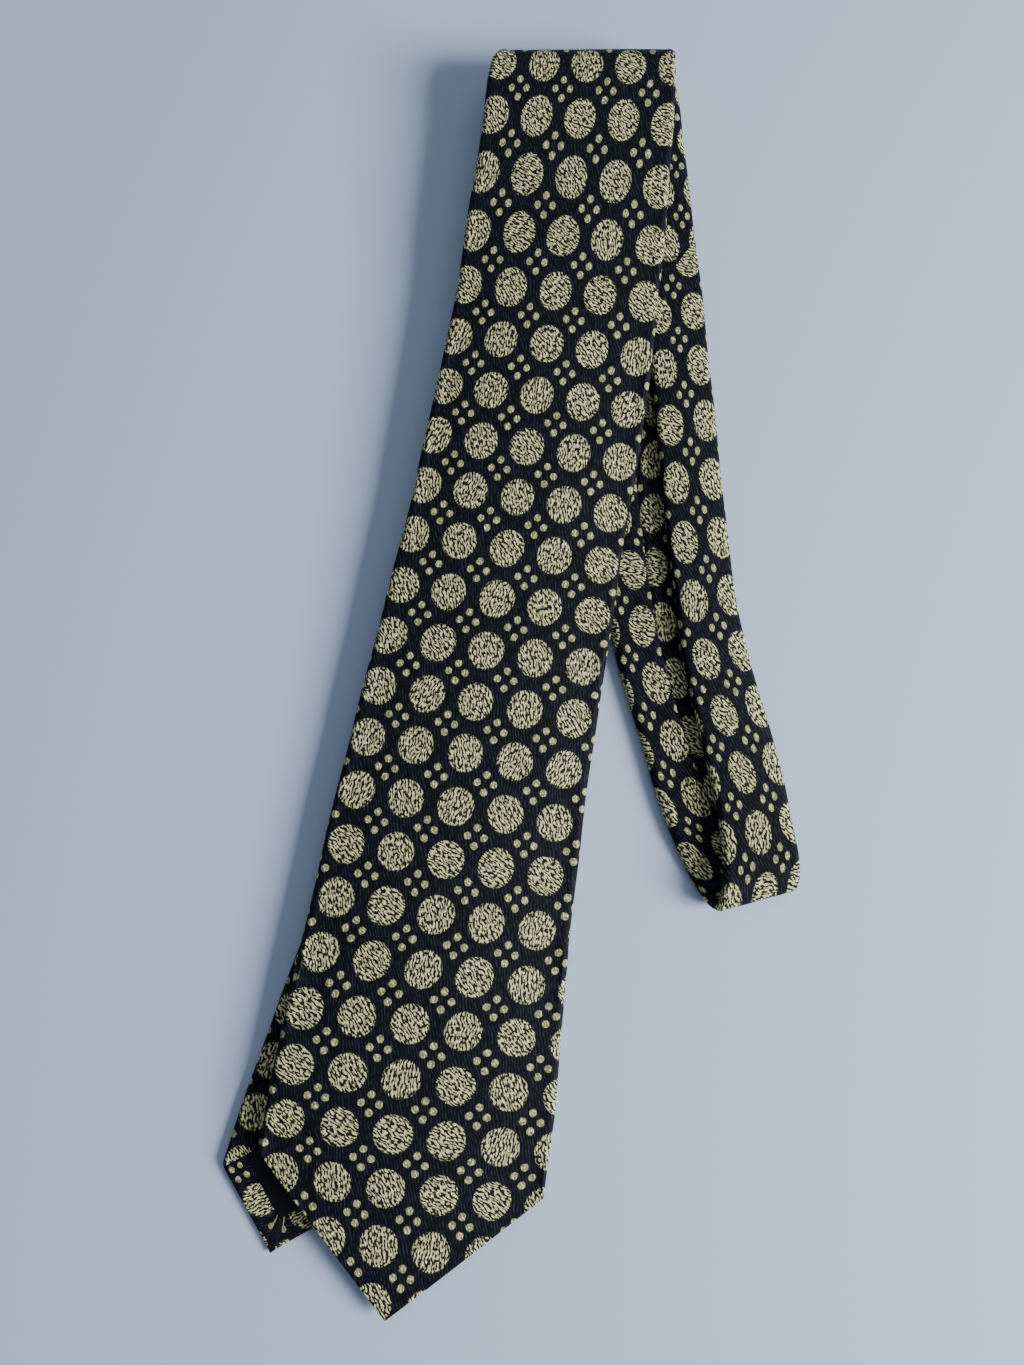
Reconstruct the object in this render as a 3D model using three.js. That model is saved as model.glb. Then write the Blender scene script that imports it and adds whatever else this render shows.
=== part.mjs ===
// A gentleman's necktie, folded in half and then folded under itself, lying flat.
// Millimetres, +Z up. Origin at the bottom centre of the folded tie's box, blade tip towards -Y.
//
// The whole tie is one ribbon. It runs from the blade's tip up to the top fold, under itself as the
// lower neck strip, round the loop, back up as the upper neck strip, round the inner fold and down
// to the tail's tip. Each station of that ribbon is one line across it, and every cloth piece is a
// section swept over a stretch of stations.

import * as THREE from 'three';

// Thicknesses
const CLOTH = 0.5;
const GAP = 0.3;
const BLADE_THICK = 4.2;
const UPPER_THICK = 3.6;
const TAIL_THICK = 3.0;
const TIP_THICK = 2.4;
const TIPPING_THICK = 0.4;
const THREAD = 0.6;
const SEAM_BEAD = 0.4;

// Half widths of the opening between the flaps, and the room that a piecing seam's stitches take
const SEAM_SLIT = 0.7;
const TIP_SLIT = 0.35;
const SEAM_ROOM = 0.8;

// Pieces sewn on the back: the station they follow and the share of the way to the next one, their
// left and right ends across the tie, and half their length along it
const KEEPER = { station: 8, share: 0.5, from: -25, to: 25, along: 6, thick: 0.6, bow: 0.6 };
const MAKER_LABEL = { station: 7, share: 0.5, from: -24, to: 24, along: 10, thick: 0.4, bow: 0 };
const CARE_LABEL = { station: 9, share: 0.4, from: 3, to: 21, along: 12, thick: 0.4, bow: 0 };
const BAR_TACK = { share: 0.1, from: -3, to: 3, along: 0.6, thick: 0.6, bow: 0 };

// Heights of the ribbon's middle surface where the layers are stacked
const LOWER_Z = BLADE_THICK / 2;
const UPPER_Z = 6.5;
const TAIL_Z = 11.6;
const TOP_Z = 16.2;
const LOOP_Z = 8.5;
const FLOOR_TAIL_Z = TAIL_THICK / 2 + 0.1;

// Folds: where the straight runs stop and the half turns begin
const OUTER_FOLD_Y = 198.15;
const INNER_FOLD_Y = 197.0;
const FOLD_STEPS = 6;

// Mesh fineness of one section
const RIM_STEPS = 3;
const FACE_STEPS = 4;
const FLAP_STEPS = 2;
const BAR_STEPS = 6;

const COLOURS = {
  shell: 0x23262b,
  interlining: 0xd8d2c2,
  tipping: 0x16181f,
  label: 0x1d2026,
  thread: 0x2b2d33,
};

// A station: its left and right ends in plan, the middle surface's height at the left, the middle
// and the right, the folded thickness there, and half the width of the opening between the flaps.
function station(left, right, heights, thick, slit = SEAM_SLIT) {
  return { left, right, heights, thick, slit };
}

const level = (z) => [z, z, z];

const bladeRun = [
  station([-39.9, -206.8], [-37.1, -207.3], level(3.2), TIP_THICK, TIP_SLIT),
  station([-47.6, -197.0], [-27.6, -199.9], [4.2, 3.6, 3.0], 3.4, TIP_SLIT),
  station([-57.6, -184.0], [-15.5, -189.8], [5.9, 4.6, 2.8], 3.8, 9),
  station([-67.6, -171.9], [-3.2, -180.7], [6.2, 5.3, 2.6], 4.0, 20),
  station([-77.9, -159.5], [9.9, -171.5], [6.3, 5.8, 2.5], BLADE_THICK, 32),
  station([-75.9, -146.0], [12.2, -158.0], [6.4, 6.3, 2.5], BLADE_THICK, 30),
  station([-70.8, -116.0], [14.9, -128.0], [6.4, 6.6, 2.6], BLADE_THICK),
  station([-61.8, -75.0], [19.9, -80.0], [6.6, 7.2, 3.0], BLADE_THICK),
  station([-55.2, -42.0], [25.2, -42.0], [7.0, 7.8, 4.2], BLADE_THICK),
  station([-47.2, -10.0], [30.1, -10.0], [7.6, 8.6, 6.9], BLADE_THICK),
  station([-38.4, 26.0], [35.9, 26.0], [8.7, 10.0, 7.4], BLADE_THICK),
  station([-29.6, 66.0], [42.8, 66.0], [10.2, 12.0, 9.6], BLADE_THICK),
  station([-21.0, 108.0], [48.6, 108.0], [12.0, 14.2, 12.6], BLADE_THICK),
  station([-14.6, 150.0], [52.6, 150.0], [14.4, 15.9, 15.4], BLADE_THICK),
  station([-10.8, 176.0], [54.9, 176.0], [15.5, 16.1, 15.9], BLADE_THICK),
  station([-8.0, OUTER_FOLD_Y], [56.5, OUTER_FOLD_Y], level(TOP_Z), BLADE_THICK),
];

const lowerStart = station([-7.0, OUTER_FOLD_Y], [57.0, OUTER_FOLD_Y], level(LOWER_Z), BLADE_THICK);

const hiddenSeam = station([3.0, 150.0], [57.6, 178.0], level(LOWER_Z), BLADE_THICK);

const lowerRun = [
  station([12.0, 110.0], [58.2, 126.0], level(LOWER_Z), BLADE_THICK),
  station([18.0, 76.0], [58.8, 80.0], level(LOWER_Z), BLADE_THICK),
  station([25.6, 34.0], [60.4, 34.0], level(LOWER_Z), BLADE_THICK),
  station([33.6, -6.0], [65.8, -4.0], level(LOWER_Z), BLADE_THICK),
  station([43.0, -41.0], [74.4, -36.0], level(LOWER_Z), BLADE_THICK),
  station([51.4, -68.0], [82.0, -60.0], level(LOWER_Z), BLADE_THICK),
];

const loopStart = station([60.0, -83.0], [86.4, -76.0], level(LOWER_Z), BLADE_THICK);
const loopEnd = station([64.4, -83.4], [89.83, -76.6], level(LOOP_Z), UPPER_THICK);

const upperRun = [
  station([65.6, -66.0], [89.2, -62.0], [8.3, 8.3, 7.8], UPPER_THICK),
  station([61.4, -41.0], [84.9, -38.0], [7.4, 7.5, 6.2], UPPER_THICK),
  station([55.0, -8.0], [76.6, -6.0], [6.7, 6.7, 5.2], UPPER_THICK),
  station([50.6, 34.0], [71.2, 34.0], [6.6, 6.7, 5.2], UPPER_THICK),
  station([47.4, 76.0], [67.8, 82.0], [6.5, 6.6, 5.6], UPPER_THICK),
];

const visibleSeam = station([44.6, 112.0], [63.0, 140.0], [6.5, 6.5, 6.2], UPPER_THICK);

const upperEnd = [
  station([40.4, 164.0], [60.2, 172.0], level(UPPER_Z), UPPER_THICK),
  station([37.2, INNER_FOLD_Y], [57.4, INNER_FOLD_Y], level(UPPER_Z), UPPER_THICK),
];

const tailRun = [
  station([34.0, INNER_FOLD_Y], [55.6, INNER_FOLD_Y], level(TAIL_Z), TAIL_THICK),
  station([14.7, 142.0], [40.6, 142.0], level(10.6), TAIL_THICK),
  station([-6.7, 80.0], [23.6, 80.0], level(7.4), TAIL_THICK),
  station([-30.8, 10.0], [4.2, 10.0], level(3.6), TAIL_THICK),
  station([-47.9, -40.0], [-9.4, -40.0], level(2.1), TAIL_THICK),
  station([-65.0, -90.0], [-23.1, -92.0], level(FLOOR_TAIL_Z), TAIL_THICK),
  station([-82.4, -140.0], [-38.6, -150.0], level(FLOOR_TAIL_Z), TAIL_THICK, SEAM_SLIT),
  station([-86.8, -153.0], [-43.4, -164.5], level(FLOOR_TAIL_Z), TAIL_THICK, 9),
  station([-89.8, -163.2], [-47.0, -174.7], level(FLOOR_TAIL_Z), TAIL_THICK, 10),
  station([-84.6, -172.3], [-56.0, -179.9], level(FLOOR_TAIL_Z), TAIL_THICK, 3),
  station([-79.3, -181.3], [-65.0, -185.1], level(FLOOR_TAIL_Z), TAIL_THICK, TIP_SLIT),
  station([-75.3, -188.2], [-72.6, -189.0], level(FLOOR_TAIL_Z), TIP_THICK, TIP_SLIT),
];

// Half a turn from one station to the next, bulging outwards in plan.
function halfTurn(from, to, outward) {
  const turn = [];
  for (let step = 1; step < FOLD_STEPS; step += 1) {
    const share = step / FOLD_STEPS;
    const angle = Math.PI * share;
    const end = (side) => {
      const radius = Math.abs(from.heights[0] - to.heights[0]) / 2;
      return [0, 1].map((axis) => {
        const base = THREE.MathUtils.lerp(from[side][axis], to[side][axis], share);
        return base + radius * Math.sin(angle) * outward[axis];
      });
    };
    const heights = from.heights.map((z, i) => {
      const middle = (z + to.heights[i]) / 2;
      return middle + ((z - to.heights[i]) / 2) * Math.cos(angle);
    });
    const thick = THREE.MathUtils.lerp(from.thick, to.thick, share);
    turn.push(station(end('left'), end('right'), heights, thick));
  }
  return turn;
}

const UPWARDS = [0, 1];
const LOOP_OUTWARDS = [0.26, -0.966];
const outerTurn = halfTurn(bladeRun.at(-1), lowerStart, UPWARDS);
const loopTurn = halfTurn(loopStart, loopEnd, LOOP_OUTWARDS);
const innerTurn = halfTurn(upperEnd.at(-1), tailRun[0], UPWARDS);

const ribbon = [
  ...bladeRun, ...outerTurn, lowerStart, hiddenSeam, ...lowerRun, loopStart, ...loopTurn,
  loopEnd, ...upperRun, visibleSeam, ...upperEnd, ...innerTurn, ...tailRun,
];

const at = (wanted) => ribbon.indexOf(wanted);
const BLADE_TIP = 0;
const BLADE_HINGE = at(outerTurn[FOLD_STEPS / 2 - 1]);
const HIDDEN_SEAM = at(hiddenSeam);
const LOOP_START = at(loopStart);
const LOOP_END = at(loopEnd);
const VISIBLE_SEAM = at(visibleSeam);
const TAIL_HINGE = at(innerTurn[FOLD_STEPS / 2 - 1]);
const TAIL_TIP = ribbon.length - 1;

// The middle surface of one station, from -1 at its left end to 1 at its right end.
function onStation(s, across) {
  const share = (across + 1) / 2;
  const [left, middle, right] = s.heights;
  const bend = (left + right) / 2 - middle;
  const z = middle + ((right - left) / 2) * across + bend * across * across;
  return new THREE.Vector3(
    THREE.MathUtils.lerp(s.left[0], s.right[0], share),
    THREE.MathUtils.lerp(s.left[1], s.right[1], share),
    z,
  );
}

// Every station gets its centre, the way across, the way along and the face's outward direction.
const frames = ribbon.map((s, i) => {
  const before = ribbon[Math.max(i - 1, 0)];
  const after = ribbon[Math.min(i + 1, TAIL_TIP)];
  const across = onStation(s, 1).sub(onStation(s, -1));
  const half = across.length() / 2;
  across.normalize();
  const along = onStation(after, 0).sub(onStation(before, 0)).normalize();
  const face = new THREE.Vector3().crossVectors(across, along).normalize();
  return { s, half, across, along, face };
});

// Sections are lists of [across in mm, height in mm above the middle surface], clockwise.

function arc(centreX, centreY, radius, from, to) {
  const points = [];
  for (let step = 0; step <= RIM_STEPS; step += 1) {
    const angle = THREE.MathUtils.lerp(from, to, step / RIM_STEPS);
    points.push([centreX + radius * Math.cos(angle), centreY + radius * Math.sin(angle)]);
  }
  return points;
}

function between(from, to, steps) {
  const points = [];
  for (let step = 1; step < steps; step += 1) {
    points.push([
      THREE.MathUtils.lerp(from[0], to[0], step / steps),
      THREE.MathUtils.lerp(from[1], to[1], step / steps),
    ]);
  }
  return points;
}

// The shell: face, two rims and two flaps, open between the flaps at the back.
function sleeve(half, thick, slit) {
  const rim = Math.min(thick / 2, half - slit - 0.02);
  const lip = half - rim;
  const down = (3 * Math.PI) / 2;
  const up = Math.PI / 2;
  const outer = [
    [-slit, -thick / 2],
    ...between([-slit, -thick / 2], [-lip, -thick / 2], FLAP_STEPS),
    ...arc(-lip, 0, 1, down, up).map(([x, y]) => [-lip + (x + lip) * rim, y * (thick / 2)]),
    ...between([-lip, thick / 2], [lip, thick / 2], FACE_STEPS),
    ...arc(lip, 0, 1, up, -up).map(([x, y]) => [lip + (x - lip) * rim, y * (thick / 2)]),
    ...between([lip, -thick / 2], [slit, -thick / 2], FLAP_STEPS),
    [slit, -thick / 2],
  ];
  const inRim = rim - CLOTH;
  const inThick = thick / 2 - CLOTH;
  const inner = [
    [slit, -inThick],
    ...between([slit, -inThick], [lip, -inThick], FLAP_STEPS),
    ...arc(lip, 0, 1, -up, up).map(([x, y]) => [lip + (x - lip) * inRim, y * inThick]),
    ...between([lip, inThick], [-lip, inThick], FACE_STEPS),
    ...arc(-lip, 0, 1, up, down).map(([x, y]) => [-lip + (x + lip) * inRim, y * inThick]),
    ...between([-lip, -inThick], [-slit, -inThick], FLAP_STEPS),
    [-slit, -inThick],
  ];
  return [...outer, ...inner];
}

// A flat pad between two heights, used for the interlining, the tippings, labels and threads.
function pad(half, low, high) {
  const bevel = Math.min((high - low) / 2, 0.4) * 0.8;
  return [
    [-half + bevel, low],
    [-half, low + bevel],
    [-half, high - bevel],
    [-half + bevel, high],
    ...between([-half + bevel, high], [half - bevel, high], FACE_STEPS),
    [half - bevel, high],
    [half, high - bevel],
    [half, low + bevel],
    [half - bevel, low],
    ...between([half - bevel, low], [-half + bevel, low], FACE_STEPS),
  ];
}

// Places a section at a frame, bent with the station's own cross curve.
function ring(frame, section, shift) {
  const { s, half, face, along } = frame;
  const offset = along.clone().multiplyScalar(shift);
  return section.map(([x, h]) => onStation(s, x / half).addScaledVector(face, h).add(offset));
}

// Joins rings with the same number of points into one closed body.
function closedBody(rings) {
  const count = rings[0].length;
  const positions = rings.flat().flatMap((p) => [p.x, p.y, p.z]);
  const index = [];
  for (let r = 0; r + 1 < rings.length; r += 1) {
    for (let i = 0; i < count; i += 1) {
      const next = (i + 1) % count;
      const a = r * count + i;
      const b = r * count + next;
      index.push(a, a + count, b, b, a + count, b + count);
    }
  }
  const last = (rings.length - 1) * count;
  for (const [i, j, k] of capTriangles(rings[0])) index.push(i, j, k);
  for (const [i, j, k] of capTriangles(rings.at(-1))) index.push(last + i, last + k, last + j);
  const geometry = new THREE.BufferGeometry();
  geometry.setAttribute('position', new THREE.Float32BufferAttribute(positions, 3));
  geometry.setIndex(facingOut(positions, index) ? index : flipped(index));
  return geometry;
}

// Triangles over one ring, found in the ring's own plane.
function capTriangles(points) {
  const middle = new THREE.Vector3();
  for (const p of points) middle.addScaledVector(p, 1 / points.length);
  const normal = new THREE.Vector3();
  for (let i = 0; i < points.length; i += 1) {
    const a = points[i].clone().sub(middle);
    const b = points[(i + 1) % points.length].clone().sub(middle);
    normal.add(a.cross(b));
  }
  normal.normalize();
  const side = points[0].clone().sub(points[Math.floor(points.length / 3)]);
  side.addScaledVector(normal, -side.dot(normal)).normalize();
  const up = new THREE.Vector3().crossVectors(normal, side);
  const flat = points.map((p) => new THREE.Vector2(p.dot(side), p.dot(up)));
  return THREE.ShapeUtils.triangulateShape(flat, []);
}

function facingOut(positions, index) {
  const corner = (i) => new THREE.Vector3().fromArray(positions, 3 * i);
  let volume = 0;
  for (let t = 0; t < index.length; t += 3) {
    const [a, b, c] = [corner(index[t]), corner(index[t + 1]), corner(index[t + 2])];
    volume += a.dot(b.cross(c));
  }
  return volume > 0;
}

function flipped(index) {
  const turned = [];
  for (let t = 0; t < index.length; t += 3) turned.push(index[t], index[t + 2], index[t + 1]);
  return turned;
}

// A body over the stations from one index to another. Its ends keep clear of the next body's.
function sweep(from, to, sectionOf) {
  const roomAt = (i) => (i === HIDDEN_SEAM || i === VISIBLE_SEAM ? SEAM_ROOM : GAP / 2);
  const rings = [];
  for (let i = from; i <= to; i += 1) {
    let shift = 0;
    if (i === from && from > BLADE_TIP) shift = roomAt(i);
    if (i === to && to < TAIL_TIP) shift = -roomAt(i);
    rings.push(ring(frames[i], sectionOf(frames[i]), shift));
  }
  return closedBody(rings);
}

const shellSection = ({ s, half }) => sleeve(half, s.thick, s.slit);

// The interlining fills the shell towards the face and leaves the tipping its place at the back.
function coreSection({ s, half }) {
  const inside = s.thick / 2 - CLOTH - GAP;
  return pad(half - CLOTH - 1.4, -inside + TIPPING_THICK + GAP, inside);
}

function tippingSection({ s, half }) {
  const low = -s.thick / 2 + CLOTH + GAP;
  return pad(half - CLOTH - 1.2, low, low + TIPPING_THICK);
}

// The slip stitch lies in the opening between the flaps.
function stitchSection({ s }) {
  const low = -s.thick / 2 + 0.05;
  const [side, high] = [THREAD / 2, low + THREAD];
  return [[-side, low], [-side, high], [side, high], [side, low]];
}

// A frame part-way from one station to the next.
function frameBetween(index, share) {
  const [a, b] = [frames[index], frames[index + 1]];
  const mix = (p, q) => p.map((value, i) => THREE.MathUtils.lerp(value, q[i], share));
  const thick = THREE.MathUtils.lerp(a.s.thick, b.s.thick, share);
  const s = station(mix(a.s.left, b.s.left), mix(a.s.right, b.s.right),
    mix(a.s.heights, b.s.heights), thick);
  const half = THREE.MathUtils.lerp(a.half, b.half, share);
  const along = a.along.clone().lerp(b.along, share).normalize();
  const face = a.face.clone().lerp(b.face, share).normalize();
  return { s, half, along, face };
}

// A four-sided bar across the ribbon. lowAt gives its lower height at each place across.
function crossBar(frame, from, to, halfAlong, lowAt, thick) {
  const rings = [];
  for (let step = 0; step <= BAR_STEPS; step += 1) {
    const x = THREE.MathUtils.lerp(from, to, step / BAR_STEPS);
    const low = lowAt(x);
    const corners = [
      [-halfAlong, low], [halfAlong, low], [halfAlong, low + thick], [-halfAlong, low + thick],
    ];
    rings.push(corners.map(([a, h]) => onStation(frame.s, x / frame.half)
      .addScaledVector(frame.face, h)
      .addScaledVector(frame.along, a)));
  }
  return closedBody(rings);
}

// A flat piece sewn on the back of the ribbon.
function backPiece(piece, index = piece.station, share = piece.share) {
  const frame = frameBetween(index, share);
  const reach = Math.max(-piece.from, piece.to);
  const back = -frame.s.thick / 2 - GAP - piece.thick;
  const lowAt = (x) => back - piece.bow * (1 - (x / reach) ** 2);
  return crossBar(frame, piece.from, piece.to, piece.along, lowAt, piece.thick);
}

// The stitches of a piecing seam, showing as a fine bead in the face.
function seamBead(frame) {
  const reach = frame.half - 1.5;
  const low = frame.s.thick / 2 - SEAM_BEAD - 0.05;
  return crossBar(frame, -reach, reach, SEAM_BEAD / 2, () => low, SEAM_BEAD);
}

const group = new THREE.Group();

function add(name, geometry, colour, roughness = 0.85) {
  const material = new THREE.MeshStandardMaterial({ color: colour, roughness, metalness: 0 });
  const mesh = new THREE.Mesh(geometry, material);
  mesh.name = name;
  group.add(mesh);
}

// Shells
add('blade_shell', sweep(BLADE_TIP, BLADE_HINGE, shellSection), COLOURS.shell);
add('blade_shell_return', sweep(BLADE_HINGE, HIDDEN_SEAM, shellSection), COLOURS.shell);
add('neck_lower_shell', sweep(HIDDEN_SEAM, LOOP_START, shellSection), COLOURS.shell);
add('neck_loop_shell', sweep(LOOP_START, LOOP_END, shellSection), COLOURS.shell);
add('neck_upper_shell', sweep(LOOP_END, VISIBLE_SEAM, shellSection), COLOURS.shell);
add('tail_shell_return', sweep(VISIBLE_SEAM, TAIL_HINGE, shellSection), COLOURS.shell);
add('tail_shell', sweep(TAIL_HINGE, TAIL_TIP, shellSection), COLOURS.shell);

// Interlining: one strip inside the whole tie, parted only where the two folds open
const BLADE_CORE_START = 2;
const TAIL_CORE_END = TAIL_TIP - 2;
add('blade_interlining', sweep(BLADE_CORE_START, BLADE_HINGE, coreSection), COLOURS.interlining);
add('neck_interlining', sweep(BLADE_HINGE, TAIL_HINGE, coreSection), COLOURS.interlining);
add('tail_interlining', sweep(TAIL_HINGE, TAIL_CORE_END, coreSection), COLOURS.interlining);

// Tippings: the lining at each point
const BLADE_TIPPING_END = 6;
const TAIL_TIPPING_START = TAIL_TIP - 5;
add('blade_tipping', sweep(1, BLADE_TIPPING_END, tippingSection), COLOURS.tipping);
add('tail_tipping', sweep(TAIL_TIPPING_START, TAIL_TIP - 1, tippingSection), COLOURS.tipping);

// Slip stitch: one thread down the back, parted at the same folds
const BLADE_BACK_START = 6;
const BLADE_BACK_END = at(bladeRun.at(-1));
const NECK_BACK_START = at(hiddenSeam);
const NECK_BACK_END = at(upperEnd[0]);
const TAIL_BACK_START = at(tailRun[0]);
const TAIL_BACK_END = at(tailRun[6]);
add('blade_slip_stitch', sweep(BLADE_BACK_START, BLADE_BACK_END, stitchSection), COLOURS.thread);
add('neck_slip_stitch', sweep(NECK_BACK_START, NECK_BACK_END, stitchSection), COLOURS.thread);
add('tail_slip_stitch', sweep(TAIL_BACK_START, TAIL_BACK_END, stitchSection), COLOURS.thread);

// Piecing seams, where the three lengths of shell cloth join on the bias
add('blade_neck_seam', seamBead(frames[HIDDEN_SEAM]), COLOURS.thread);
add('neck_tail_seam', seamBead(frames[VISIBLE_SEAM]), COLOURS.thread);

// On the backs of the blade and the tail
add('keeper_loop', backPiece(KEEPER), COLOURS.shell);
add('maker_label', backPiece(MAKER_LABEL), COLOURS.label);
add('care_label', backPiece(CARE_LABEL), COLOURS.label);
add('blade_bar_tack', backPiece(BAR_TACK, BLADE_BACK_START), COLOURS.thread);
add('tail_bar_tack', backPiece(BAR_TACK, TAIL_BACK_END - 1, 1 - BAR_TACK.share), COLOURS.thread);

export default group;
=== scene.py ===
# A folded necktie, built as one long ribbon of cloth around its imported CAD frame.
# Metres, +Z up, blade tip towards -Y. Shapes are worked out in millimetres and scaled when a mesh is made.
import math

import bpy
import numpy as np
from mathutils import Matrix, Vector
from mathutils.bvhtree import BVHTree


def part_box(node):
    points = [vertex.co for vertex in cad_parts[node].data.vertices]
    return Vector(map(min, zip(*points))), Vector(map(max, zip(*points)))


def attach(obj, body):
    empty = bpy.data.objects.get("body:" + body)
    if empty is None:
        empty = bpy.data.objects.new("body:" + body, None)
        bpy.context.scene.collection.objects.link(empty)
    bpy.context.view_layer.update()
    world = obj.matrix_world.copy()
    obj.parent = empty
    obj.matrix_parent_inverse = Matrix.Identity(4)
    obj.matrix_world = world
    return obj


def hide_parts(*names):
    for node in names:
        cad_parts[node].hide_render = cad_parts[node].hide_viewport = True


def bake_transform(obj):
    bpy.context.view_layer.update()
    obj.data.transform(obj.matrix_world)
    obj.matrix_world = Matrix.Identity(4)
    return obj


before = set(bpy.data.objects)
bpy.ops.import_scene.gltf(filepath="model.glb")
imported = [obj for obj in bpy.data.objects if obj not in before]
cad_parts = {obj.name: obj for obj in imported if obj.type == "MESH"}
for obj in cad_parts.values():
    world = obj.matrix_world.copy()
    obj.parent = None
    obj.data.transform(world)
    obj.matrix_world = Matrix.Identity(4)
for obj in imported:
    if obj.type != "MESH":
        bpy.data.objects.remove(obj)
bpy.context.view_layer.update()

MM = 0.001
TAU = 2 * math.pi
X_AXIS = np.array([1.0, 0.0])

# Cloth and layers, in mm
CLOTH = 0.4
LAYER = 0.55

# How far a rim reaches in: as a share of half the thickness, and at most as a share of half the width
RIM_ROUNDNESS = 1.4
RIM_MOST = 0.4

# The face's crown, in mm, where half the width is WIDE_HALF or more, and the thickness at a pointed edge
CROWN = 0.25
WIDE_HALF = 35.0
EDGE_THICK = 2.4
EDGE_LENGTH = 34.0

# Hems at the two points: widths in mm, and counts of steps and of cloth layers
HEM_WIDTH = 8.5
HEM_STEPS = 5
HEM_UNDER_FACE = 0.75
HEM_LAYERS = 2.3

# Back seam: (length along the tie, how far the left flap passes the middle there), in mm
SEAM_PLACE = [(0, 1.6), (430, 1.6), (520, 0.6), (597, -0.5),
              (637, -1.7), (672, -1.7), (700, -0.6), (760, 1.2)]
TURN_UNDER = 5.0
UNDER_REACH = 5.5
SEAM_RIDGE = 0.5

# Under the left flap the right one dips by so many layers, from so far past the seam, over so many mm
DIP_LAYERS = 2.6
DIP_PAST = 1.9
DIP_LENGTH = 1.4

# The top fold's left corner draws in by this much, in mm
SHOULDER = 4.5

# Mesh fineness: mm between rows, and columns in each zone
ROW_STEP = 3.0
FACE_COLUMNS = 25
RIM_COLUMNS = 7
FLAP_COLUMNS = 12


# ---- reading the frame

def cad_points(*nodes):
    """Vertices of some CAD nodes, in mm."""
    found = [[v.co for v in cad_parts[node].data.vertices] for node in nodes]
    return np.concatenate([np.array(points) for points in found]) / MM


def cad_edges(*nodes):
    """Both ends of every edge of some CAD nodes, in mm."""
    pairs = []
    for node in nodes:
        points = cad_points(node)
        ends = np.array([e.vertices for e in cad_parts[node].data.edges])
        pairs.append(points[ends])
    return np.concatenate(pairs)


def cad_box(node):
    low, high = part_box(node)
    return np.array(low) / MM, np.array(high) / MM


def cad_height(node, x, y, from_above):
    """The height at which a vertical ray first meets a CAD node, in mm, or None."""
    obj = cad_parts[node]
    tree = BVHTree.FromPolygons([v.co for v in obj.data.vertices], [p.vertices for p in obj.data.polygons])
    start = 0.1 if from_above else -0.1
    hit = tree.ray_cast(Vector((x * MM, y * MM, start)), Vector((0, 0, -math.copysign(1, start))))
    return None if hit[0] is None else hit[0].z / MM


def extreme(node, direction):
    """The vertex of a node that lies furthest in a direction in plan."""
    points = cad_points(node)
    return points[(points[:, :2] @ np.array(direction)).argmax()]


def section_ends(nodes, through, across):
    """The two ends, in plan, of what a vertical plane along across cuts from some nodes."""
    ends = cad_edges(*nodes)[:, :, :2]
    normal = np.array([-across[1], across[0]])
    away = (ends - through) @ normal
    cut = away[:, 0] * away[:, 1] < 0
    share = away[cut, 0] / (away[cut, 0] - away[cut, 1])
    met = ends[cut, 0] + share[:, None] * (ends[cut, 1] - ends[cut, 0])
    reach = (met - through) @ across
    return met[reach.argmin()], met[reach.argmax()]


def unit(v):
    """A vector, or each of an array of vectors, at length 1."""
    return np.array(v, float) / np.linalg.norm(v, axis=-1, keepdims=True)


def smooth(t):
    t = np.clip(t, 0, 1)
    return t * t * (3 - 2 * t)


# ---- the ribbon's stations

# The folded thickness of the blade and lower strip, of the upper strip, and of the tail, in mm
BLADE_THICK = cad_box("neck_lower_shell")[1][2]
UPPER_THICK = 3.6
TAIL_THICK = 3.0

# Where a row's height is read, from -1 at its left end to 1 at its right end
HEIGHT_SHARES = [-0.8, -0.45, 0.0, 0.45, 0.8]

# The heights in plan where the neck's rows are read, from the top fold to the loop
NECK_HEIGHTS = [172.0, 145.0, 112.0, 78.0, 34.0, -6.0, -34.0, -58.0]
LOOP_HEIGHT = -80.0


def row_across(nodes, y, reach=12.0):
    """The direction across the tie at a height y in plan, square to its middle line."""
    middles = [sum(section_ends(nodes, np.array([0.0, at]), X_AXIS)) / 2 for at in (y - reach, y + reach)]
    along = unit(middles[1] - middles[0])
    return np.array([along[1], -along[0]])


class Row:
    """One line across the ribbon: its left end, middle and right end, and the folded thickness."""

    def __init__(self, left, middle, right, thick):
        self.points = np.array([left, middle, right], float)
        self.thick = thick


def cut_row(nodes, through, across, thick, face_up):
    """A row of the ribbon, read from the CAD where a vertical plane cuts it."""
    left, right = section_ends(nodes, through, across)
    heights = []
    for share in HEIGHT_SHARES:
        x, y = (left + right) / 2 + share * (right - left) / 2
        found = [cad_height(node, x, y, face_up) for node in nodes]
        found = [z for z in found if z is not None]
        heights.append((max(found) - thick / 2) if face_up else (min(found) + thick / 2))
    curve = np.polyfit(HEIGHT_SHARES, heights, 2)
    z_left, z_middle, z_right = np.polyval(curve, [-1, 0, 1])
    middle = (left + right) / 2
    return Row([*left, z_left], [*middle, z_middle], [*right, z_right], thick)


def flat_row(left, right, z, thick):
    return Row([*left, z], [*(np.array(left) + np.array(right)) / 2, z], [*right, z], thick)


def fold_row(nodes, fold, z, thick):
    """The level row where a run meets a fold at the top."""
    left, right = section_ends(nodes, np.array([0.0, fold["y"] - 1.0]), X_AXIS)
    return flat_row([left[0], fold["y"]], [right[0], fold["y"]], z, thick)


def loop_row(node, z, thick):
    """The level row where a run meets the loop, from its lowest corner to its rightmost."""
    return flat_row(extreme(node, (0, -1))[:2], extreme(node, (1, 0))[:2], z, thick)


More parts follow.
